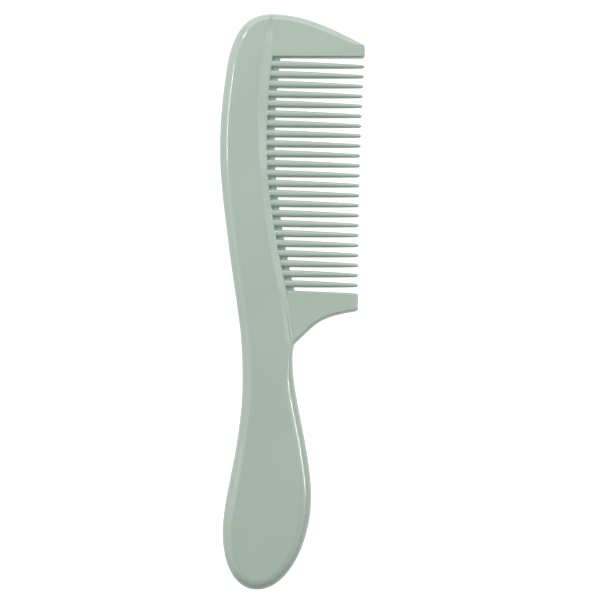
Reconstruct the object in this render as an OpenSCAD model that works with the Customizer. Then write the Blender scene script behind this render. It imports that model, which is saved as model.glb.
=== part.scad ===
// One-piece moulded handle comb, lying flat on its back.
// +Y runs from the handle to the head, +X towards the tips of the teeth and
// +Z up through the front face. The origin is under the middle of the comb.
// Both faces are alike, so every shape mirrors about the mid-plane.

/* [Body] */
// Thickness of the handle and the spine
spine_thickness = 6; // [5:0.1:7]
// Thickness of the guards and of the roots of the teeth
blade_thickness = 4.6; // [4:0.1:4.8]
// Width of the rounded edge of the handle and the spine
spine_round = 3.7; // [2.5:0.1:4]
// Width of the rounded upper edge of the top guard
head_round = 2.2; // [1:0.1:3]
// Width of the rounded edges of the guards next to the teeth and at the tips
guard_round = 0.9; // [0.4:0.1:1.2]

/* [Teeth] */
// Number of teeth
tooth_count = 23; // [16:1:25]
// Width of a tooth at its root
tooth_root_width = 2.35; // [1.8:0.05:2.5]
// Width of a tooth just before its rounded tip
tooth_tip_width = 1.25; // [0.8:0.05:1.6]
// Thickness of a tooth just before its rounded tip
tooth_tip_thickness = 1.8; // [1.2:0.1:2.6]
// Upper end of the row of teeth, at the top guard
row_top = 80.1; // [79:0.1:81]
// Lower end of the row of teeth, at the bottom guard
row_bottom = 3.1; // [2.6:0.1:4]

/* [Root webs] */
// Length of the thin web that closes each gap at its root
web_length = 2.5; // [1:0.1:4]
// Thickness of the web
web_thickness = 1.6; // [1:0.1:1.7]

/* [Hidden] */
plastic = [0.67, 0.74, 0.69];
spine_half = spine_thickness / 2;
blade_half = blade_thickness / 2;
gap_count = tooth_count + 1;
root_gap = (row_top - row_bottom - tooth_count * tooth_root_width) / gap_count;
pitch = root_gap + tooth_root_width;

// Steps in a rounded edge, and sections along a curved stretch
rim_steps = 4;
handle_sections = 26;
cap_sections = 16;
head_sections = 14;
guard_sections = 10;
corner_sections = 3;

// A curve is a list of knots, each [position, offset, slope]: a smooth cubic
// runs from knot to knot.
// Left edge of the handle and the spine, as X against Y
left_edge = [
    [-70, -19.0, 0.1], [-50, -15.85, 0.14], [-28, -14.15, -0.02], [-6, -16.0, -0.17],
    [20, -20.3, -0.15], [50, -23.65, -0.02], [70, -22.8, 0.11], [84, -20.5, 0.32]
];
// Right edge of the handle, up to the throat, as X against Y
right_edge = [
    [-70, 9.2, 0.1], [-50, 7.65, -0.19], [-34, 4.2, -0.21], [-20, 2.25, -0.03],
    [-14.7, 2.67, 0.2]
];
// Line where the teeth leave the spine, as X against Y
root_line = [
    [3.2, -0.4, -0.24], [22, -4.6, -0.18], [40, -7.35, -0.1], [58, -8.1, 0],
    [80.2, -6.9, 0.1]
];
// Line where the thick spine starts to slope down to the roots, as X against Y
step_line = [
    [-14.7, 1.4, -0.15], [-3, -1.2, -0.3], [18, -6.2, -0.2], [50, -10.7, -0.09],
    [66, -11.45, 0], [80.2, -10.5, 0.13], [95, -8, 0.15]
];
// Line of the tips of the teeth, as X against Y
tip_line = [[3.2, 23.2, -0.01], [40, 22.95, 0], [80.2, 23.8, 0.04]];
// Upper edge of the top guard, as Y against X
top_edge = [[-6.9, 95, 0], [4, 93.5, -0.27], [12, 90.7, -0.42], [23, 85.55, -0.5]];
// Lower edge of the bottom guard, as Y against X
throat = [[2.67, -14.7, 1.02], [7, -10.35, 1], [12, -6.45, 0.5], [22.5, -3.4, 0.2]];

// Rounded end of the handle: a superellipse about a slanted centre line
cap_y = -70;
cap_length = 25;
cap_half_width = 14.1;
cap_centre = -4.9;
cap_slant = 0.115;
cap_power = 2.1;
// Half width of the narrow flat that is left where the rounded edges meet
least_flat = 0.3;
// Where a handle rib's extra point lies on its flat; the spine's step meets it
flat_point = 0.9;

// The shoulder of the head is a cubic Bezier curve
shoulder = [[-20.5, 84], [-18.15, 91.3], [-14.3, 95], [-6.9, 95]];
// Throat end of the handle, and of the narrow start of its right rounded edge
neck_y = -14.7;
neck_round = 1.2;
neck_blend_y = -32;
// Line where the top guard leaves the spine
guard_x = root_line[4][1];
// Rise of the top guard's lower edge, and fall of the bottom guard's upper edge
guard_draft = 0.5;

// A guard's corner is [centre, radius, first angle], with angles from the +Y axis
top_outer_corner = [[22.5, 84.45], 1.2, 26];
top_inner_corner = [[22.9, 81.5], 0.8, 180];
bottom_inner_corner = [[22.7, 2], 0.7, 0];
bottom_outer_corner = [[22.3, -2.3], 1.1, 168];

// How the taper of a tooth bulges: 1 is straight
taper_power = 2;
// Length of a tooth's rounded tip, and the angles of its sections
tip_length = 1;
tip_angles = [30, 60, 80];
// Sections along a tooth between its web and its tip
tooth_sections = 5;
// Upper half of a tooth's section, as parts of its half width and thickness
tooth_profile = [[-1, 0], [-1, 0.39], [-0.8, 0.8], [-0.39, 1], [0.39, 1], [0.8, 0.8], [1, 0.39], [1, 0]];

tooth_names = [for (i = [1:tooth_count]) str("tooth_", i < 10 ? "0" : "", i)];

function mix(a, b, t) = a + (b - a) * t;
function unit(v) = v / norm(v);

// Value of a curve at a position
function hermite(a, b, u) =
    a[1] * (1 + 2 * u) * pow(1 - u, 2) + a[2] * (b[0] - a[0]) * u * pow(1 - u, 2)
    + b[1] * pow(u, 2) * (3 - 2 * u) + b[2] * (b[0] - a[0]) * pow(u, 2) * (u - 1);
function knot_before(knots, p) =
    max([for (i = [0:len(knots) - 2]) if (i == 0 || p >= knots[i][0]) i]);
function curve(knots, p) =
    let (i = knot_before(knots, p), a = knots[i], b = knots[i + 1])
    hermite(a, b, (p - a[0]) / (b[0] - a[0]));

// Point of a Bezier curve, and its inward normal on the right-hand side
function bezier(c, t) =
    pow(1 - t, 3) * c[0] + 3 * t * pow(1 - t, 2) * c[1] + 3 * pow(t, 2) * (1 - t) * c[2] + pow(t, 3) * c[3];
function bezier_inward(c, t) =
    let (d = pow(1 - t, 2) * (c[1] - c[0]) + 2 * t * (1 - t) * (c[2] - c[1]) + pow(t, 2) * (c[3] - c[2]))
    unit([d[1], -d[0]]);

// A rib is the upper half of a cross-section, from the left edge to the right.
// Its rounded edges are quarter ellipses that rise from the mid-plane.
function rim(edge, inward, reach, half) =
    [for (k = [0:rim_steps])
        let (a = 90 * k / rim_steps, p = edge + inward * reach * (1 - cos(a)))
        [p[0], p[1], half * sin(a)]];
function reversed(list) = [for (i = [len(list) - 1:-1:0]) list[i]];

// Solid through a row of ribs, mirrored about the mid-plane
module loft(ribs) {
    m = len(ribs[0]);
    ring = 2 * m - 2;
    last = len(ribs) - 1;
    points = [for (rib = ribs) each concat(
        [for (p = rib) p + [0, 0, spine_half]],
        [for (i = [1:m - 2]) [rib[i][0], rib[i][1], spine_half - rib[i][2]]]
    )];
    function up(r, i) = r * ring + i;
    function down(r, i) = (i == 0 || i == m - 1) ? up(r, i) : r * ring + m - 1 + i;
    sides = [for (r = [0:last - 1], i = [0:m - 2]) each [
        [up(r, i), up(r + 1, i), up(r + 1, i + 1)],
        [up(r, i), up(r + 1, i + 1), up(r, i + 1)],
        [down(r, i), down(r + 1, i + 1), down(r + 1, i)],
        [down(r, i), down(r, i + 1), down(r + 1, i + 1)]
    ]];
    // Each end is closed by strips between the matching points of its two edges;
    // a middle point, where there is one, is the apex of the last triangles
    middle = (m - 1) / 2;
    strips = m % 2 == 0 ? m / 2 - 1 : middle - 2;
    cap_triangles = concat(
        [for (i = [0:strips - 1]) each [[i, i + 1, m - 1 - i], [i + 1, m - 2 - i, m - 1 - i]]],
        m % 2 == 0 ? [] :
        [[middle - 2, middle - 1, middle], [middle - 2, middle, middle + 2], [middle, middle + 1, middle + 2]]
    );
    caps = [for (t = cap_triangles) each [
        [up(0, t[0]), up(0, t[1]), up(0, t[2])],
        [down(0, t[0]), down(0, t[2]), down(0, t[1])],
        [up(last, t[0]), up(last, t[2]), up(last, t[1])],
        [down(last, t[0]), down(last, t[1]), down(last, t[2])]
    ]];
    polyhedron(points, concat(sides, caps));
}

// Handle: ribs across Y, with the rounded end first
function superellipse(q) = q >= 1 ? 0 : pow(1 - pow(q, cap_power), 1 / cap_power);
function flat_half(y) =
    max(least_flat, (cap_half_width - spine_round) * superellipse((cap_y - y) / (cap_length - spine_round)));
function cap_rib(y) =
    let (
        centre = cap_centre + cap_slant * (y - cap_y),
        half_width = cap_half_width * superellipse((cap_y - y) / cap_length),
        reach = half_width - flat_half(y),
        depth = min(1, (y - cap_y + cap_length) / spine_round),
        half = spine_half * sqrt(1 - pow(1 - depth, 2))
    )
    handle_rib([centre - half_width, y], [centre + half_width, y], reach, reach, half);
function handle_rib(left, right, left_reach, right_reach, half) =
    concat(
        rim(left, [1, 0], left_reach, half),
        [[mix(left[0] + left_reach, right[0] - right_reach, flat_point), left[1], half]],
        reversed(rim(right, [-1, 0], right_reach, half))
    );
function shaft_rib(y) =
    let (t = max(0, (y - neck_blend_y) / (neck_y - neck_blend_y)))
    handle_rib(
        [curve(left_edge, y), y], [curve(right_edge, y), y],
        spine_round, mix(spine_round, neck_round, t), spine_half
    );

module handle() {
    cap_ribs = [for (i = [1:cap_sections])
        cap_rib(cap_y - cap_length * cos(90 * (i - 0.6) / cap_sections))];
    shaft_ribs = [for (i = [0:handle_sections])
        shaft_rib(mix(cap_y, neck_y, i / handle_sections))];
    color(plastic) loft(concat(cap_ribs, shaft_ribs));
}

// Spine: ribs from the neck up past the teeth, then fanned round the shoulder
function spine_rib(left, inward, reach, half, step, root) =
    concat(
        rim(left, inward, reach, half),
        [[step[0], step[1], half]],
        reversed(rim(root, [0, 0], 0, blade_half))
    );
function root_x(y) =
    y < row_bottom
    ? mix(right_edge[4][1], root_line[0][1], (y - neck_y) / (row_bottom - neck_y))
    : curve(root_line, y);
function level_rib(y) =
    spine_rib(
        [curve(left_edge, y), y], [1, 0], spine_round, spine_half,
        [curve(step_line, y), y], [root_x(y), y]
    );
function head_rib(t) =
    let (
        left = bezier(shoulder, t),
        inward = bezier_inward(shoulder, t),
        reach = mix(spine_round, head_round, t),
        half = mix(spine_half, blade_half, pow(t, 3)),
        root = [guard_x, mix(row_top, shoulder[3][1] - head_round - 1, mix(0.2, 1, t))],
        step = mix(root, left + inward * reach, mix(0.25, 0.5, t))
    )
    spine_rib(left, inward, reach, half, step, root);

// The two edges of each tooth at its root, from the bottom guard upwards
root_stations = [for (i = [0:tooth_count], side = [0, 1]) row_bottom + i * pitch + side * root_gap];
neck_stations = [for (i = [1:4]) mix(neck_y, row_bottom, i / 5)];

module spine() {
    color(plastic) loft(concat(
        [shaft_rib(neck_y)],
        [for (y = concat(neck_stations, root_stations)) level_rib(y)],
        [for (i = [0:head_sections - 1]) head_rib(i / (head_sections - 1))]
    ));
}

// Guard: ribs between an upper and a lower edge. Each edge is a list of
// [point, inward direction]: the rows face each other, then each edge turns
// through the arc of its own corner until it faces +X.
function facing(points, others) =
    [for (i = [0:len(points) - 1]) [points[i], unit(others[i] - points[i])]];
function corner(c) =
    [for (i = [0:corner_sections])
        let (a = mix(c[2], 90, i / corner_sections), out = [sin(a), cos(a)])
        [c[0] + c[1] * out, -out]];
module guard(upper, lower, upper_corner, lower_corner, first_reach) {
    tops = concat(facing(upper, lower), corner(upper_corner));
    bottoms = concat(facing(lower, upper), corner(lower_corner));
    last = len(tops) - 1;
    loft([for (i = [0:last]) concat(
        rim(tops[i][0], tops[i][1], mix(first_reach, guard_round, i / last), blade_half),
        reversed(rim(bottoms[i][0], bottoms[i][1], guard_round, blade_half))
    )]);
}

module top_guard() {
    stations = [for (i = [0:guard_sections - 1]) i / guard_sections];
    upper = [for (t = stations)
        let (x = mix(guard_x, top_outer_corner[0][0], t))
        [x, curve(top_edge, x)]];
    lower = [for (t = stations)
        [mix(guard_x, top_inner_corner[0][0], t), row_top + guard_draft * t]];
    color(plastic) guard(upper, lower, top_outer_corner, top_inner_corner, head_round);
}

module bottom_guard() {
    stations = [for (i = [0:guard_sections - 1]) i / guard_sections];
    upper = [for (t = stations)
        [mix(root_line[0][1], bottom_inner_corner[0][0], t), row_bottom - guard_draft * t]];
    lower = [for (t = stations)
        let (x = mix(throat[0][0], bottom_outer_corner[0][0], t))
        [x, curve(throat, x)]];
    color(plastic) guard(upper, lower, bottom_inner_corner, bottom_outer_corner, guard_round);
}

// Teeth are numbered from the top guard down. Each is a taper of one section.
function tooth_y(i) = row_top - i * pitch + tooth_root_width / 2;
function tooth_root_x(i, side) = root_x(tooth_y(i) + side * tooth_root_width / 2);
function tooth_web_x(i) = root_x(tooth_y(i)) + web_length;
function tooth_taper(i, x) =
    pow(max(0, (x - root_x(tooth_y(i))) / (curve(tip_line, tooth_y(i)) - root_x(tooth_y(i)))), taper_power);
function tooth_half_width(i, x) = mix(tooth_root_width, tooth_tip_width, tooth_taper(i, x)) / 2;
function tooth_rib(i, x, scale) =
    let (
        half_width = tooth_half_width(i, x) * scale,
        half = mix(blade_thickness, tooth_tip_thickness, tooth_taper(i, x)) / 2 * scale
    )
    [for (p = tooth_profile) [x, tooth_y(i) - half_width * p[0], half * p[1]]];
// The root section lies in the side of the spine, which is slanted there
function tooth_root_rib(i) =
    [for (p = tooth_profile) [
        mix(tooth_root_x(i, 1), tooth_root_x(i, -1), (p[0] + 1) / 2),
        tooth_y(i) - tooth_root_width / 2 * p[0],
        blade_half * p[1]
    ]];

module tooth(i) {
    tip_x = curve(tip_line, tooth_y(i));
    web_x = tooth_web_x(i);
    body = [for (t = [0:tooth_sections]) mix(web_x, tip_x - tip_length, t / tooth_sections)];
    color(plastic) loft(concat(
        [tooth_root_rib(i)],
        [for (x = body) tooth_rib(i, x, 1)],
        [for (a = tip_angles) tooth_rib(i, tip_x - tip_length * (1 - sin(a)), cos(a))]
    ));
}

// Root webs: a flat plate across the root of each gap, between the straight
// sides of its two neighbours
function upper_side(i) =
    i == 0
    ? [[guard_x, row_top], [guard_x + web_length, row_top]]
    : [[tooth_root_x(i, -1), tooth_y(i) - tooth_root_width / 2],
       [tooth_web_x(i), tooth_y(i) - tooth_half_width(i, tooth_web_x(i))]];
function lower_side(i) =
    i == gap_count
    ? [[root_x(row_bottom), row_bottom], [root_x(row_bottom) + web_length, row_bottom]]
    : [[tooth_root_x(i, 1), tooth_y(i) + tooth_root_width / 2],
       [tooth_web_x(i), tooth_y(i) + tooth_half_width(i, tooth_web_x(i))]];

module root_webs() {
    color(plastic)
    for (i = [0:tooth_count])
        translate([0, 0, spine_half - web_thickness / 2])
        linear_extrude(web_thickness)
        polygon(concat(upper_side(i), reversed(lower_side(i + 1))));
}

handle();
spine();
top_guard();
bottom_guard();
root_webs();
for (i = [1:tooth_count])
    tooth(i);
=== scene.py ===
"""A one-piece moulded handle comb, lying flat on a white table.

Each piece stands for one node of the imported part, at its place and size. What is made here is
the moulded surface: full rounded edges, the soft fall from the spine to the teeth, oval teeth
with domed tips, and the filleted webs between their roots.

Lengths are millimetres until a mesh is made. Heights are measured from the mid-plane. The comb
is alike on both faces, so a piece is made as its front half and then mirrored.
"""

import math
from collections import namedtuple

import bpy
import numpy as np
from mathutils import Matrix, Vector


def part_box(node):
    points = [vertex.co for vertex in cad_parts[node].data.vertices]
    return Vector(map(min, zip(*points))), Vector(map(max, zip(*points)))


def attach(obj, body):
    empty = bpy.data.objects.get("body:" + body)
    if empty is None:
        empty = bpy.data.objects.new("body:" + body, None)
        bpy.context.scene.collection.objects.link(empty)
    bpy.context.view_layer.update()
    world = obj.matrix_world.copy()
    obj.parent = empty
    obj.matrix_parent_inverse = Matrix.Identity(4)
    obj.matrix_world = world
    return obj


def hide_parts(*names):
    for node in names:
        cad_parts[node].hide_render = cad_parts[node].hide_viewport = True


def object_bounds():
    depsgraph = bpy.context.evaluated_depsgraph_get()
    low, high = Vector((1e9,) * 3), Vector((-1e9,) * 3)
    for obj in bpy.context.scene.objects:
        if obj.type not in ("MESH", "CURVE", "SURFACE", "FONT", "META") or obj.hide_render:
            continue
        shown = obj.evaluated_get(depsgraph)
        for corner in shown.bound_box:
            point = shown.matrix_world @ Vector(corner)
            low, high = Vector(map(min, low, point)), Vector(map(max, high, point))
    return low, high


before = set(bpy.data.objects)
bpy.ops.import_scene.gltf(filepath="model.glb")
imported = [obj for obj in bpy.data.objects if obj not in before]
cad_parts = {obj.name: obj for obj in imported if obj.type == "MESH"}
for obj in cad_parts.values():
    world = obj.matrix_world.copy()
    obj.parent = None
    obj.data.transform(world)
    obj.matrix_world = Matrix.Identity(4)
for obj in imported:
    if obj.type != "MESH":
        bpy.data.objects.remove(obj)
cad_low, cad_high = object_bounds()

MM = 0.001


def box_mm(node):
    """Lowest and highest corner of a CAD node, in millimetres."""
    low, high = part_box(node)
    return low / MM, high / MM


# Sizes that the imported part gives
handle_low, _ = box_mm("handle")
spine_low, spine_high = box_mm("spine")
top_low, top_high = box_mm("top_guard")
bottom_low, bottom_high = box_mm("bottom_guard")
web_low, web_high = box_mm("root_webs")
TEETH = sorted(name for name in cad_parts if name.startswith("tooth_"))

MID_Z = (spine_low.z + spine_high.z) / 2
SPINE_HALF = (spine_high.z - spine_low.z) / 2
BLADE_HALF = (top_high.z - top_low.z) / 2
WEB_HALF = (web_high.z - web_low.z) / 2
NECK_Y = spine_low.y
ROW_BOTTOM = bottom_high.y
ROW_TOP = top_low.y
GUARD_X = top_low.x

# The part's own curves, as knots of [position, offset, slope]: X against Y for the edges and
# lines that run along the comb, Y against X for the outer edges of the guards.
LEFT_EDGE = [
    [-70, -19.0, 0.1], [-50, -15.85, 0.14], [-28, -14.15, -0.02], [-6, -16.0, -0.17],
    [20, -20.3, -0.15], [50, -23.65, -0.02], [70, -22.8, 0.11], [84, -20.5, 0.32],
]
RIGHT_EDGE = [
    [-70, 9.2, 0.1], [-50, 7.65, -0.19], [-34, 4.2, -0.21], [-20, 2.25, -0.03], [-14.7, 2.67, 0.2],
]
ROOT_LINE = [
    [3.2, -0.4, -0.24], [22, -4.6, -0.18], [40, -7.35, -0.1], [58, -8.1, 0], [80.2, -6.9, 0.1],
]
STEP_LINE = [
    [-14.7, 1.4, -0.15], [-3, -1.2, -0.3], [18, -6.2, -0.2], [50, -10.7, -0.09],
    [66, -11.45, 0], [80.2, -10.5, 0.13], [95, -8, 0.15],
]
TOP_EDGE = [[-6.9, 95, 0], [4, 93.5, -0.27], [12, 90.7, -0.42], [23, 85.55, -0.5]]
THROAT = [[2.67, -14.7, 1.02], [7, -10.35, 1], [12, -6.45, 0.5], [22.5, -3.4, 0.2]]
# The part's own Bezier curve at the shoulder
SHOULDER = np.array([[-20.5, 84], [-18.15, 91.3], [-14.3, 95], [-6.9, 95]])

# Line where the fall from the spine ends, just short of the roots of the teeth
FALL_END = [
    [-14.7, 2.3, -0.2], [3.1, -0.8, -0.24], [22, -4.95, -0.18], [40, -7.7, -0.1],
    [58, -8.45, 0], [80.1, -7.3, 0.1], [95, -7.4, -0.05],
]
# The fall fades out between these two heights, at the neck
FADE_START = -18
FADE_END = -12

# Rounded end of the handle
CAP_Y = -70
CAP_LENGTH = CAP_Y - handle_low.y
CAP_HALF_WIDTH = 14.1
CAP_CENTRE = -4.9
CAP_SLANT = 0.115
CAP_POWER = 2.1

# Rounded corners of the guards, with angles in degrees from +Y towards +X
Corner = namedtuple("Corner", "x y radius first last")
TOP_OUTER = Corner(22.5, 84.45, 1.2, 26, 90)
TOP_INNER = Corner(22.7, 81.7, 1.0, 90, 180)
BOTTOM_INNER = Corner(22.4, 1.7, 1.0, 0, 90)
BOTTOM_OUTER = Corner(22.3, -2.3, 1.1, 90, 168)
# Where the guards' outer edges give way to their corners
TOP_EDGE_END = 22.95
THROAT_END = 22.53

# Widths of the rounded edges, and the stretches over which they change
FULL_ROUND = 3.7
HEAD_ROUND = 2.6
NECK_ROUND = 1.2
NECK_BLEND_Y = -32
THROAT_BLEND_X = 3
THROAT_BLEND_LENGTH = 19
GAP_ROUND = 0.6
TIP_ROUND = 0.9
TIP_MIDDLE_ROUND = 0.75
ROOT_ROUND = 0.32
ROUND_BLEND = 0.8
# Width of the top guard's rim, at positions along X
TOP_RIM = ([0, 8, 19, 21.8, 22.5], [HEAD_ROUND, 2.8, 2.3, 1.6, TIP_ROUND])

# Teeth. They start inside the spine, a hair below its face, and their sections are superellipses.
TOOTH_OVERLAP = 0.6
TOOTH_SINK = 0.015
TOOTH_TIP_WIDTH = 1.25
TOOTH_TIP_THICKNESS = 1.8
TOOTH_TIP_LENGTH = 1
TOOTH_TAPER = 2
ROOT_SQUARENESS = 3.4
TIP_SQUARENESS = 2.2
# Shares of a tooth's length over which its section turns oval, and it comes up to full height
SQUARE_SHARE = 0.7
SINK_SHARE = 0.15

# Webs. They start inside their neighbours, and their free ends are hollow and rounded.
WEB_LENGTH = 2.5
WEB_OVERLAP = 0.15
WEB_NOSE = 0.5
WEB_HOLLOW = 0.8
POCKET_FILLET = 0.34
POCKET_STEEPNESS = 3

# Steps of the meshes
RIM_STEPS = 14
EDGE_SPACING = 0.7
GUARD_STEPS = 48
CURVE_STEPS = 60
CORNER_STEPS = 10
GUARD_TIP_STEPS = 9
HANDLE_COLUMNS = 12
GUARD_COLUMNS = 10
SPINE_COLUMNS = 6
FALL_COLUMNS = 17
LAND_COLUMNS = 4
ROOT_ROUND_STEPS = 5
TOOTH_SECTIONS = 40
TOOTH_POINTS = 20
DOME_SECTIONS = 10
WEB_STEPS = 9
# How strongly the steps crowd together, at the shoulder's far end and where the fall begins
SHOULDER_CROWDING = 1.4
FALL_CROWDING = 1.5
# Step over which slopes are measured, halvings that find a crossing, and digits that points share
SLOPE_STEP = 0.01
HALVINGS = 30
WELD_DIGITS = 4

# Plastic: linear colours, each noise as its scale and detail, and the peel's depth in metres
PLASTIC_DARK = (0.365, 0.446, 0.388, 1)
PLASTIC_LIGHT = (0.387, 0.474, 0.412, 1)
FLOW_NOISE = (35, 3)
FLOW_DARK_BELOW = 0.3
FLOW_LIGHT_ABOVE = 0.7
REFRACTION = 1.49
POLISH_NOISE = (120, 4)
SMOOTHEST = 0.08
ROUGHEST = 0.13
PEEL_NOISE = (700, 2)
PEEL_STRENGTH = 0.06
PEEL_DEPTH = 0.00005

# Studio, with its lengths in metres
TABLE = 30
TABLE_ROUGHNESS = 0.8
FLOOR_DROP = 0.0003
FLOOR_GREY = 0.5
FLOOR_GLOW = 0.9
BOUNCE_GLOW = 0.8
SKY_LEVEL = 0.15
SKY_SLOPE = (0, 0.15, 0)

# Camera, with its angles in degrees, its lens and sensor in millimetres, and the rest in metres
CAMERA_TIP = 4
CAMERA_TURN = 1.4
CAMERA_TARGET = (4.123 * MM, -0.022 * MM)
CAMERA_DISTANCE = 0.7
CAMERA_LENS = 127.6
CAMERA_SENSOR = 36
CAMERA_NEAREST = 0.01


# --- Curves and rims ----------------------------------------------------------------------------

# Points of the outline and, at each, the directions inwards and along it, the width of the
# rounded edge, and how fast that width grows.
Rim = namedtuple("Rim", "points inward along reach growth")


def smooth(t):
    """Smooth step from 0 to 1."""
    t = np.clip(t, 0, 1)
    return t * t * (3 - 2 * t)


def mix(a, b, t):
    return a + (b - a) * t


def curve(knots, at):
    """Value at a position of the smooth cubics that run from knot to knot."""
    knots = np.array(knots, float)
    at = np.asarray(at, float)
    first = np.clip(np.searchsorted(knots[:, 0], at, side="right") - 1, 0, len(knots) - 2)
    a, b = knots[first], knots[first + 1]
    length = b[..., 0] - a[..., 0]
    u = (at - a[..., 0]) / length
    return (
        a[..., 1] * (1 + 2 * u) * (1 - u) ** 2 + a[..., 2] * length * u * (1 - u) ** 2
        + b[..., 1] * u ** 2 * (3 - 2 * u) + b[..., 2] * length * u ** 2 * (u - 1)
    )


def bezier(c, t):
    """Points of a cubic Bezier curve with the control points c, at the shares t."""
    t = t[:, None]
    return (
        (1 - t) ** 3 * c[0] + 3 * t * (1 - t) ** 2 * c[1]
        + 3 * t ** 2 * (1 - t) * c[2] + t ** 3 * c[3]
    )


def steps(start, end, spacing=EDGE_SPACING):
    """Even positions from start to end, about one spacing apart."""
    return np.linspace(start, end, max(2, round(abs(end - start) / spacing) + 1))


def side_edge(knots, y, reach):
    """A stretch of edge given as X against Y, with its rim widths."""
    return np.column_stack([curve(knots, y), y]), np.broadcast_to(reach, y.shape)


def level_edge(knots, x, reach):
    """A stretch of edge given as Y against X, with its rim widths."""
    return np.column_stack([x, curve(knots, x)]), np.broadcast_to(reach, x.shape)


def straight_edge(start, end, count, reach):
    return np.linspace(start, end, count), np.full(count, float(reach))


def tip_edge(x, start_y, end_y):
    """The straight end of a guard, downwards. Its rim is narrowest half-way between the corners."""
    share = np.linspace(0, 1, GUARD_TIP_STEPS)
    points = np.column_stack([np.full(GUARD_TIP_STEPS, x), mix(start_y, end_y, share)])
    return points, mix(TIP_ROUND, TIP_MIDDLE_ROUND, np.sin(np.pi * share) ** 2)


def corner_edge(corner):
    """A guard's rounded corner."""
    angle = np.radians(np.linspace(corner.first, corner.last, CORNER_STEPS))
    x = corner.x + corner.radius * np.sin(angle)
    y = corner.y + corner.radius * np.cos(angle)
    return np.column_stack([x, y]), np.full(CORNER_STEPS, TIP_ROUND)


def cap_edge(side, angle):
    """Half of the handle's rounded end: angle 0 is at the shaft and 90 degrees at the very end."""
    drop = CAP_LENGTH * np.sin(angle) ** (2 / CAP_POWER)
    half_width = CAP_HALF_WIDTH * np.cos(angle) ** (2 / CAP_POWER)
    points = np.column_stack([CAP_CENTRE - CAP_SLANT * drop + side * half_width, CAP_Y - drop])
    return points, np.full(len(angle), FULL_ROUND)


def chained(parts):
    """Lists that join end to end, as one. The last entry of each is the first of the next."""
    return np.concatenate([part[:-1] for part in parts[:-1]] + [parts[-1]])


def follow(stretches):
    """Rims of stretches that join end to end, clockwise round the comb. Where two meet, they
    share one inward direction, so that the pieces on either side match."""
    points = chained([stretch for stretch, _ in stretches.values()])
    reach = chained([widths for _, widths in stretches.values()])
    travelled = np.append(0, np.cumsum(np.linalg.norm(np.diff(points, axis=0), axis=1)))
    along = np.gradient(points, travelled, axis=0)
    along /= np.linalg.norm(along, axis=1)[:, None]
    inward = np.column_stack([along[:, 1], -along[:, 0]])
    growth = np.gradient(reach, travelled)
    rims = {}
    start = 0
    for name, (stretch, _) in stretches.items():
        part = slice(start, start + len(stretch))
        rims[name] = Rim(points[part], inward[part], along[part], reach[part], growth[part])
        start += len(stretch) - 1
    return rims


def joined(*rims):
    """Rims one after another, as one rim."""
    return Rim(*(np.concatenate(parts) for parts in zip(*rims)))


def inner_line(rim):
    """Where the rounded edge ends and the face begins."""
    return rim.points + rim.inward * rim.reach[:, None]


# --- Surface of the body ------------------------------------------------------------------------

def half_thickness(x, y):
    """Full on the handle and the spine, falling to the blade's at the roots of the teeth."""
    start = curve(STEP_LINE, y)
    share = np.clip((x - start) / (curve(FALL_END, y) - start), 0, 1)
    fade = smooth((y - FADE_START) / (FADE_END - FADE_START))
    return SPINE_HALF - (SPINE_HALF - BLADE_HALF) * share * fade


def slope(x, y):
    """How fast the half thickness grows along X and along Y."""
    step = SLOPE_STEP
    return np.stack([
        (half_thickness(x + step, y) - half_thickness(x - step, y)) / (2 * step),
        (half_thickness(x, y + step) - half_thickness(x, y - step)) / (2 * step),
    ], axis=-1)


def unit(vectors):
    return vectors / np.linalg.norm(vectors, axis=-1, keepdims=True)


def rounded_edge(rim):
    """Patch of the rounded edge: a quarter ellipse from the mid-plane up to the face."""
    angle = np.linspace(0, np.pi / 2, RIM_STEPS + 1)
    share = 1 - np.cos(angle)
    lift = np.sin(angle)
    plan = rim.points[:, None] + rim.inward[:, None] * (rim.reach[:, None] * share)[..., None]
    thick = half_thickness(plan[..., 0], plan[..., 1])
    points = np.dstack([plan, thick * lift])
    turned = rim.inward[:, None] - rim.along[:, None] * (rim.growth[:, None] * share)[..., None]
    rise = turned * (thick * (1 - share) / rim.reach[:, None])[..., None]
    rise = rise + slope(plan[..., 0], plan[..., 1]) * (lift ** 2)[None, :, None]
    return points, unit(np.dstack([-rise, np.broadcast_to(lift, thick.shape)]))


def face(left, right, shares):
    """Patch of the face between two lines, with columns at the given shares of the way."""
    plan = left[:, None] + (right - left)[:, None] * shares[..., None]
    thick = half_thickness(plan[..., 0], plan[..., 1])
    rise = slope(plan[..., 0], plan[..., 1])
    return np.dstack([plan, thick]), unit(np.dstack([-rise, np.ones_like(thick)]))


def crossing(left, right, line):
    """Share of the way from left to right at which each row meets a line of X against Y."""
    low = np.zeros(len(left))
    high = np.ones(len(left))
    for _ in range(HALVINGS):
        middle = (low + high) / 2
        place = left + (right - left) * middle[:, None]
        before = place[:, 0] < curve(line, place[:, 1])
        low = np.where(before, middle, low)
        high = np.where(before, high, middle)
    return low


# --- Meshes -------------------------------------------------------------------------------------

def quads(grid):
    """Corners of a grid's quads, facing up when rows run clockwise and columns run inwards."""
    corners = [grid[:-1, :-1], grid[:-1, 1:], grid[1:, 1:], grid[1:, :-1]]
    return np.stack(corners, axis=2).reshape(-1, 4, 3)


def weld(corners):
    """Distinct points, and each corner's index among them."""
    rounded = np.round(corners.reshape(-1, 3), WELD_DIGITS)
    keys, index = np.unique(rounded, axis=0, return_inverse=True)
    return keys + 0.0, index.reshape(len(corners), 4)


def without_repeats(indices, normals):
    """A polygon without its repeated corners, or None if no area is left."""
    kept = [k for k in range(len(indices)) if indices[k] != indices[k - 1]]
    if len(set(indices[k] for k in kept)) < 3:
        return None
    return [indices[k] for k in kept], [normals[k] for k in kept]


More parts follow.
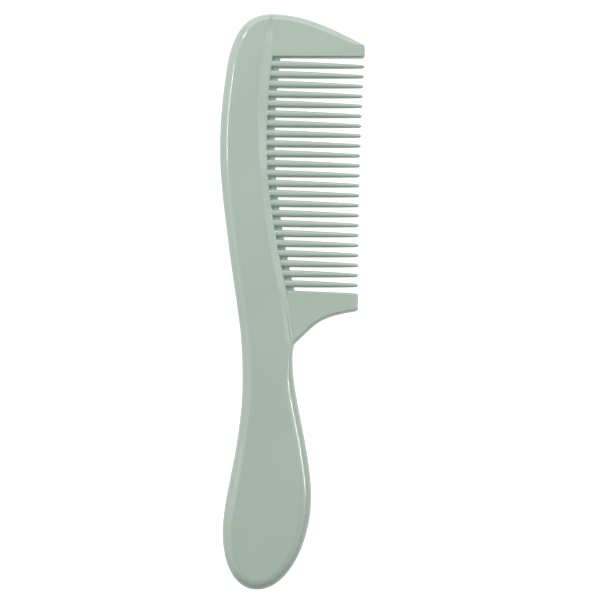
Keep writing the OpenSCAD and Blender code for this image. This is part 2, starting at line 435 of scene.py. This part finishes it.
def walls(points, polygons):
    """Upright faces from every open edge of the front down to the mid-plane."""
    edges = {(p[k - 1], p[k]) for p, _ in polygons for k in range(len(p))}
    foot = {tuple(p): i for i, p in enumerate(points)}
    added = []
    for a, b in sorted(edges):
        if (b, a) in edges or points[a][2] == points[b][2] == 0:
            continue
        feet = []
        for corner in (a, b):
            key = (points[corner][0], points[corner][1], 0.0)
            if key not in foot:
                foot[key] = len(points)
                points.append(key)
            feet.append(foot[key])
        out = np.array([points[b][1] - points[a][1], points[a][0] - points[b][0], 0.0])
        if not out.any():
            continue
        out = tuple(-out / np.linalg.norm(out))
        polygon = without_repeats([b, a, feet[0], feet[1]], [out] * 4)
        if polygon:
            added.append(polygon)
    return added


def solid(name, patches, exact=True):
    """One closed mesh from the patches of its front, with walls where they end. The back is the
    front's mirror image. Exact pieces keep the patches' own normals."""
    corners = np.concatenate([quads(points) for points, _ in patches])
    shading = np.concatenate([quads(normals) for _, normals in patches])
    keys, index = weld(corners)
    points = [tuple(p) for p in keys]
    polygons = [without_repeats(list(i), [tuple(n) for n in s]) for i, s in zip(index, shading)]
    polygons = [p for p in polygons if p]
    polygons += walls(points, polygons)

    mirror = {i: i for i, p in enumerate(points) if p[2] == 0}
    for i, (x, y, z) in enumerate(list(points)):
        if z != 0:
            mirror[i] = len(points)
            points.append((x, y, -z))
    polygons += [
        ([mirror[i] for i in reversed(p)], [(x, y, -z) for x, y, z in reversed(n)])
        for p, n in polygons
    ]
    places = [(x * MM, y * MM, (z + MID_Z) * MM) for x, y, z in points]
    mesh = bpy.data.meshes.new(name)
    mesh.from_pydata(places, [], [p for p, _ in polygons])
    mesh.shade_smooth()
    if exact:
        mesh.normals_split_custom_set([n for _, normals in polygons for n in normals])
    piece = bpy.data.objects.new(name, mesh)
    bpy.context.scene.collection.objects.link(piece)
    return piece


# --- Pieces -------------------------------------------------------------------------------------

def body_rims():
    """Rims of the whole outline, clockwise from the bottom guard's root to the top guard's."""
    cap_angle = np.radians(np.linspace(0, 90, CURVE_STEPS))
    right_y = steps(NECK_Y, CAP_Y)
    left_y = steps(CAP_Y, NECK_Y)
    throat_x = np.linspace(THROAT_END, THROAT[0][0], GUARD_STEPS)
    top_x = np.linspace(GUARD_X, TOP_EDGE_END, GUARD_STEPS)
    neck_blend = smooth((NECK_Y - right_y) / (NECK_Y - NECK_BLEND_Y))
    throat_blend = smooth((throat_x - THROAT_BLEND_X) / THROAT_BLEND_LENGTH)
    shoulder_share = 1 - (1 - np.linspace(0, 1, CURVE_STEPS)) ** SHOULDER_CROWDING
    shoulder_reach = mix(FULL_ROUND, HEAD_ROUND, smooth(shoulder_share))
    return follow({
        "bottom_upper": straight_edge(
            (ROOT_LINE[0][1], ROW_BOTTOM), (BOTTOM_INNER.x, BOTTOM_INNER.y + BOTTOM_INNER.radius),
            GUARD_STEPS, GAP_ROUND,
        ),
        "bottom_inner": corner_edge(BOTTOM_INNER),
        "bottom_tip": tip_edge(bottom_high.x, BOTTOM_INNER.y, BOTTOM_OUTER.y),
        "bottom_outer": corner_edge(BOTTOM_OUTER),
        "throat": level_edge(THROAT, throat_x, mix(NECK_ROUND, TIP_ROUND, throat_blend)),
        "shaft_right": side_edge(RIGHT_EDGE, right_y, mix(NECK_ROUND, FULL_ROUND, neck_blend)),
        "cap_right": cap_edge(1, cap_angle),
        "cap_left": cap_edge(-1, cap_angle[::-1]),
        "shaft_left": side_edge(LEFT_EDGE, left_y, FULL_ROUND),
        "neck_left": side_edge(LEFT_EDGE, steps(NECK_Y, ROW_BOTTOM), FULL_ROUND),
        "row_left": side_edge(LEFT_EDGE, steps(ROW_BOTTOM, ROW_TOP), FULL_ROUND),
        "head_left": side_edge(LEFT_EDGE, steps(ROW_TOP, SHOULDER[0][1]), FULL_ROUND),
        "shoulder": (bezier(SHOULDER, shoulder_share), shoulder_reach),
        "top_upper": level_edge(TOP_EDGE, top_x, np.interp(top_x, *TOP_RIM)),
        "top_outer": corner_edge(TOP_OUTER),
        "top_tip": tip_edge(top_high.x, TOP_OUTER.y, TOP_INNER.y),
        "top_inner": corner_edge(TOP_INNER),
        "top_lower": straight_edge(
            (TOP_INNER.x, TOP_INNER.y - TOP_INNER.radius), (GUARD_X, ROW_TOP), GUARD_STEPS, GAP_ROUND,
        ),
    })


def make_handle(rims):
    """The handle, from its rounded end up to the neck."""
    right = joined(rims["shaft_right"], rims["cap_right"])
    left = joined(rims["cap_left"], rims["shaft_left"])
    shares = np.tile(np.linspace(0, 1, HANDLE_COLUMNS), (len(left.points), 1))
    return solid("handle_body", [
        rounded_edge(joined(right, left)),
        face(inner_line(left), inner_line(right)[::-1], shares),
    ])


def spine_right(rims, counts):
    """The spine's right side: the seam with the bottom guard, the roots of the teeth and the
    seam with the top guard, each with the given number of points."""
    below, beside, above = counts
    neck = inner_line(rims["shaft_right"])[0]
    head = inner_line(rims["top_upper"])[0]
    row_y = np.linspace(ROW_BOTTOM, ROW_TOP, beside)
    roots = np.column_stack([curve(ROOT_LINE, row_y), row_y])
    return (
        np.linspace(neck, roots[0], below + 1)[:-1],
        roots,
        np.linspace((GUARD_X, ROW_TOP), head, above + 1)[1:],
    )


def root_wall(roots, rounding):
    """Patch of the upright wall between the teeth, with its small rounded edge."""
    angle = np.linspace(0, np.pi / 2, ROOT_ROUND_STEPS)
    x = roots[:, :1] - rounding[:, None] * (1 - np.sin(angle))
    z = half_thickness(*roots.T)[:, None] - rounding[:, None] * (1 - np.cos(angle))
    upper = np.dstack([x, np.broadcast_to(roots[:, 1:], x.shape), z])
    foot = upper[:, -1:] * (1, 1, 0)
    turn = np.append(angle, np.pi / 2)
    normals = np.column_stack([np.sin(turn), 0 * turn, np.cos(turn)])
    points = np.concatenate([upper, foot], axis=1)
    return points, np.broadcast_to(normals, points.shape)


def make_spine(rims):
    """The spine: a flat, the fall towards the teeth, and a narrow land along their roots."""
    left = joined(*(rims[name] for name in ("neck_left", "row_left", "head_left", "shoulder")))
    beside = len(rims["row_left"].points)
    below = len(rims["neck_left"].points)
    lower, roots, upper = spine_right(rims, (below, beside, len(left.points) - below - beside))
    above_bottom = smooth((roots[:, 1] - ROW_BOTTOM) / ROUND_BLEND)
    below_top = smooth((ROW_TOP - roots[:, 1]) / ROUND_BLEND)
    rounding = ROOT_ROUND * (above_bottom * below_top)
    edge = roots - np.outer(rounding, (1, 0))
    start = inner_line(left)
    right = np.concatenate([lower, edge, upper])
    step_at = crossing(start, right, STEP_LINE)[:, None]
    fall_at = crossing(start, right, FALL_END)[:, None]
    shares = np.concatenate([
        step_at * np.linspace(0, 1, SPINE_COLUMNS)[:-1],
        mix(step_at, fall_at, np.linspace(0, 1, FALL_COLUMNS)[:-1] ** FALL_CROWDING),
        mix(fall_at, 1, np.linspace(0, 1, LAND_COLUMNS)),
    ], axis=1)
    return solid("spine_body", [
        rounded_edge(left),
        face(start, right, shares),
        root_wall(roots, rounding),
    ])


def make_guard(name, upper, lower, tip):
    """A guard between its upper and its lower edge, which meet half-way down its tip."""
    half = len(tip.points) // 2
    upper = joined(*upper, Rim(*(part[:half + 1] for part in tip)))
    lower = joined(Rim(*(part[half:] for part in tip)), *lower)
    shares = np.tile(np.linspace(0, 1, GUARD_COLUMNS), (len(upper.points), 1))
    return solid(name, [
        rounded_edge(joined(upper, lower)),
        face(inner_line(upper), inner_line(lower)[::-1], shares),
    ])


def make_guards(rims):
    """Both guards, by the names of their nodes."""
    return {
        "top_guard": make_guard(
            "top_guard_body", (rims["top_upper"], rims["top_outer"]),
            (rims["top_inner"], rims["top_lower"]), rims["top_tip"],
        ),
        "bottom_guard": make_guard(
            "bottom_guard_body", (rims["bottom_upper"], rims["bottom_inner"]),
            (rims["bottom_outer"], rims["throat"]), rims["bottom_tip"],
        ),
    }


def unshaded(points):
    """A patch that leaves its shading to the mesh."""
    return points, np.zeros_like(points)


def make_tooth(node):
    """A tooth: nearly square at its root, it turns into an oval that tapers to a domed tip."""
    low, high = box_mm(node)
    centre = (low.y + high.y) / 2
    root = float(curve(ROOT_LINE, centre))
    dome = np.sin(np.linspace(0, np.pi / 2, DOME_SECTIONS))
    x = np.concatenate([
        np.linspace(root - TOOTH_OVERLAP, high.x - TOOTH_TIP_LENGTH, TOOTH_SECTIONS)[:-1],
        high.x - TOOTH_TIP_LENGTH * (1 - dome),
    ])
    share = np.clip((x - root) / (high.x - root), 0, 1)
    close = np.sqrt(1 - np.clip((x - high.x) / TOOTH_TIP_LENGTH + 1, 0, 1) ** 2)
    half_width = mix((high.y - low.y) / 2, TOOTH_TIP_WIDTH / 2, share ** TOOTH_TAPER) * close
    half_depth = mix(BLADE_HALF, TOOTH_TIP_THICKNESS / 2, share ** TOOTH_TAPER) * close
    square = mix(ROOT_SQUARENESS, TIP_SQUARENESS, smooth(share / SQUARE_SHARE))
    angle = np.linspace(0, np.pi, 2 * TOOTH_POINTS + 1)
    across = np.cos(angle)
    up = np.sin(angle)
    up[[0, -1]] = 0
    power = 2 / square[:, None]
    y = centre + half_width[:, None] * np.sign(across) * np.abs(across) ** power
    sink = TOOTH_SINK * (1 - smooth(share / SINK_SHARE))
    z = np.maximum(half_depth[:, None] * up ** power - sink[:, None], 0)
    sections = np.dstack([np.broadcast_to(x[:, None], y.shape), y, z])
    return solid(node + "_body", [unshaded(sections)], exact=False)


def web_patch(low_y, high_y):
    """Front of one web, from the lower to the upper tooth and out from the spine's wall. A fillet
    runs round the pocket it leaves there, and its free end is hollow and rounded."""
    y = np.linspace(low_y - WEB_OVERLAP, high_y + WEB_OVERLAP, 2 * WEB_STEPS + 1)
    gap = (high_y - low_y) / 2
    across = np.clip(np.abs(y - (low_y + high_y) / 2), 0, gap)
    straight = WEB_LENGTH - WEB_NOSE + WEB_HOLLOW * (gap - np.sqrt(gap ** 2 - across ** 2))
    nose = np.linspace(0, np.pi / 2, WEB_STEPS)
    x = np.column_stack([
        np.tile(np.linspace(-WEB_OVERLAP, POCKET_FILLET, WEB_STEPS), (len(y), 1)),
        mix(POCKET_FILLET, straight[:, None], np.linspace(0, 1, WEB_STEPS)[1:]),
        straight[:, None] + WEB_NOSE * np.sin(nose)[1:],
    ])
    corner = np.hypot(
        np.clip(POCKET_FILLET - x, 0, None),
        np.clip(POCKET_FILLET - (gap - across), 0, None)[:, None],
    )
    rise = POCKET_FILLET - np.sqrt(np.clip(POCKET_FILLET ** 2 - corner ** 2, 0, None))
    rise += POCKET_STEEPNESS * np.clip(corner - POCKET_FILLET, 0, None)
    close = np.concatenate([np.ones(2 * WEB_STEPS - 1), np.cos(nose)[1:]])
    close[-1] = 0
    root = curve(ROOT_LINE, np.clip(y, ROW_BOTTOM, ROW_TOP))[:, None]
    z = np.minimum(WEB_HALF + rise, BLADE_HALF - POCKET_FILLET / 2) * close
    return np.dstack([root + x, np.broadcast_to(y[:, None], x.shape), z])


def make_webs():
    """The webs that close the gaps at their roots, as one piece of separate solids."""
    edges = [ROW_TOP]
    for node in TEETH:
        low, high = box_mm(node)
        edges += [high.y, low.y]
    edges.append(ROW_BOTTOM)
    patches = [unshaded(web_patch(low, high)) for high, low in zip(edges[::2], edges[1::2])]
    return solid("root_web_fillets", patches, exact=False)


# --- Material -----------------------------------------------------------------------------------

def gloss_plastic():
    """Moulded gloss plastic: sage green, with a faint flow pattern, uneven polish and orange peel."""
    material = bpy.data.materials.new("sage_gloss_plastic")
    material.use_nodes = True
    nodes = material.node_tree.nodes
    links = material.node_tree.links
    shader = nodes["Principled BSDF"]
    shader.inputs["IOR"].default_value = REFRACTION
    place = nodes.new("ShaderNodeTexCoord")

    def noise(scale, detail):
        node = nodes.new("ShaderNodeTexNoise")
        node.inputs["Scale"].default_value = scale
        node.inputs["Detail"].default_value = detail
        links.new(place.outputs["Object"], node.inputs["Vector"])
        return node.outputs["Fac"]

    flow = nodes.new("ShaderNodeValToRGB")
    flow.color_ramp.elements[0].position = FLOW_DARK_BELOW
    flow.color_ramp.elements[0].color = PLASTIC_DARK
    flow.color_ramp.elements[1].position = FLOW_LIGHT_ABOVE
    flow.color_ramp.elements[1].color = PLASTIC_LIGHT
    links.new(noise(*FLOW_NOISE), flow.inputs["Fac"])
    links.new(flow.outputs["Color"], shader.inputs["Base Color"])

    polish = nodes.new("ShaderNodeMapRange")
    polish.inputs["To Min"].default_value = SMOOTHEST
    polish.inputs["To Max"].default_value = ROUGHEST
    links.new(noise(*POLISH_NOISE), polish.inputs["Value"])
    links.new(polish.outputs["Result"], shader.inputs["Roughness"])

    peel = nodes.new("ShaderNodeBump")
    peel.inputs["Strength"].default_value = PEEL_STRENGTH
    peel.inputs["Distance"].default_value = PEEL_DEPTH
    links.new(noise(*PEEL_NOISE), peel.inputs["Height"])
    links.new(peel.outputs["Normal"], shader.inputs["Normal"])
    return material


# --- Studio -------------------------------------------------------------------------------------

def white_table(name, drop, grey, glow):
    """A wide level plane, a little below the comb, that glows with an even white."""
    material = bpy.data.materials.new(name)
    material.use_nodes = True
    shader = material.node_tree.nodes["Principled BSDF"]
    shader.inputs["Base Color"].default_value = (grey, grey, grey, 1)
    shader.inputs["Roughness"].default_value = TABLE_ROUGHNESS
    shader.inputs["Emission Color"].default_value = (1, 1, 1, 1)
    shader.inputs["Emission Strength"].default_value = glow
    mesh = bpy.data.meshes.new(name)
    z = cad_low.z - drop
    corners = [(-TABLE, -TABLE, z), (TABLE, -TABLE, z), (TABLE, TABLE, z), (-TABLE, TABLE, z)]
    mesh.from_pydata(corners, [], [(0, 1, 2, 3)])
    mesh.materials.append(material)
    table = bpy.data.objects.new(name, mesh)
    bpy.context.scene.collection.objects.link(table)
    return table


def make_floor():
    """The white table that the camera and the reflections see, and below it the one whose glow
    lights the comb from underneath."""
    floor = white_table("floor", FLOOR_DROP, FLOOR_GREY, FLOOR_GLOW)
    floor.visible_diffuse = False
    bounce = white_table("bounce", 2 * FLOOR_DROP, 0, BOUNCE_GLOW)
    bounce.visible_camera = False
    bounce.visible_glossy = False


def axes(x, y, z, place):
    """The matrix of an object with those axes at that place."""
    return Matrix((
        (x[0], y[0], z[0], place[0]),
        (x[1], y[1], z[1], place[1]),
        (x[2], y[2], z[2], place[2]),
        (0, 0, 0, 1),
    ))


def make_light(name, place, width, length, power, target=(0, 0, 0), spread=180):
    """A rectangular light at a place, facing a target, with its length as near as can be along Y.
    Its power is in watts and its spread in degrees."""
    data = bpy.data.lights.new(name, "AREA")
    data.shape = "RECTANGLE"
    data.size = width
    data.size_y = length
    data.energy = power
    data.spread = math.radians(spread)
    light = bpy.data.objects.new(name, data)
    back = (Vector(place) - Vector(target)).normalized()
    across = Vector((0, 1, 0)).cross(back).normalized()
    light.matrix_world = axes(across, back.cross(across), back, place)
    bpy.context.scene.collection.objects.link(light)


def make_sky():
    """Surroundings that get brighter towards the far side."""
    world = bpy.context.scene.world or bpy.data.worlds.new("studio")
    bpy.context.scene.world = world
    world.use_nodes = True
    nodes = world.node_tree.nodes
    links = world.node_tree.links
    direction = nodes.new("ShaderNodeTexCoord")
    change = nodes.new("ShaderNodeVectorMath")
    change.operation = "DOT_PRODUCT"
    change.inputs[1].default_value = SKY_SLOPE
    links.new(direction.outputs["Generated"], change.inputs[0])
    level = nodes.new("ShaderNodeMath")
    level.operation = "ADD"
    level.inputs[1].default_value = SKY_LEVEL
    links.new(change.outputs["Value"], level.inputs[0])
    sky = nodes["Background"]
    sky.inputs["Color"].default_value = (1, 1, 1, 1)
    links.new(level.outputs["Value"], sky.inputs["Strength"])


def make_lights():
    """Large dim walls and soft boxes round the comb, then small lights meant for the thin
    highlights on its rounded edges."""
    make_light("far_wall", (0, 1.0, 0.35), 1.6, 0.7, 2.4)
    make_light("far_card", (0, 0.45, 0.4), 0.8, 0.3, 1.6)
    make_light("left_wall", (-1.0, 0, 0.35), 0.7, 1.6, 4.0)
    make_light("right_wall", (1.0, 0, 0.35), 0.7, 1.6, 1.0)
    make_light("left_soft", (-0.5, 0, 0.6), 0.35, 0.9, 1.3)
    make_light("right_soft", (0.5, 0, 0.6), 0.35, 0.9, 1.0)
    make_light("right_card", (0.36, 0.18, 0.70), 0.26, 0.4, 0.42)
    make_light("left_strip", (-0.42, 0.19, 0.62), 0.02, 0.16, 0.6)
    # A narrow beam that meets the comb only at the handle, where its reflection hardly shows
    make_light("left_lamp", (-0.36, -0.028, 0.656), 0.02, 0.02, 0.00024, (-0.021, -0.060, 0), 4)
    make_light("shoulder_lamp", (-0.283, 0.36, 0.635), 0.03, 0.03, 0.35)
    make_light("right_strip", (0.515, 0.03, 0.54), 0.03, 0.18, 1.0)
    make_sky()


def make_camera():
    """The photograph's camera: almost straight above, a little tipped and turned."""
    tip = math.radians(CAMERA_TIP)
    turn = math.radians(CAMERA_TURN)
    across = Vector((math.cos(turn), math.sin(turn), 0))
    along = Vector((-math.sin(turn), math.cos(turn), 0))
    up = Vector((0, 0, 1))
    back = up * math.cos(tip) - along * math.sin(tip)
    rise = along * math.cos(tip) + up * math.sin(tip)
    target = Vector((*CAMERA_TARGET, MID_Z * MM))
    camera = bpy.data.objects.new("camera", bpy.data.cameras.new("camera"))
    camera.data.lens = CAMERA_LENS
    camera.data.sensor_width = CAMERA_SENSOR
    camera.data.clip_start = CAMERA_NEAREST
    place = target + back * CAMERA_DISTANCE
    camera.matrix_world = axes(across, rise, back, place)
    bpy.context.scene.collection.objects.link(camera)
    bpy.context.scene.camera = camera


# --- Assembly -----------------------------------------------------------------------------------

rims = body_rims()
pieces = {
    "handle": make_handle(rims),
    "spine": make_spine(rims),
    **make_guards(rims),
    "root_webs": make_webs(),
}
pieces.update({node: make_tooth(node) for node in TEETH})
plastic = gloss_plastic()
for node, piece in pieces.items():
    piece.data.materials.append(plastic)
    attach(piece, "root")
    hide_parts(node)

make_floor()
make_lights()
make_camera()
bpy.context.scene.view_settings.view_transform = "Standard"
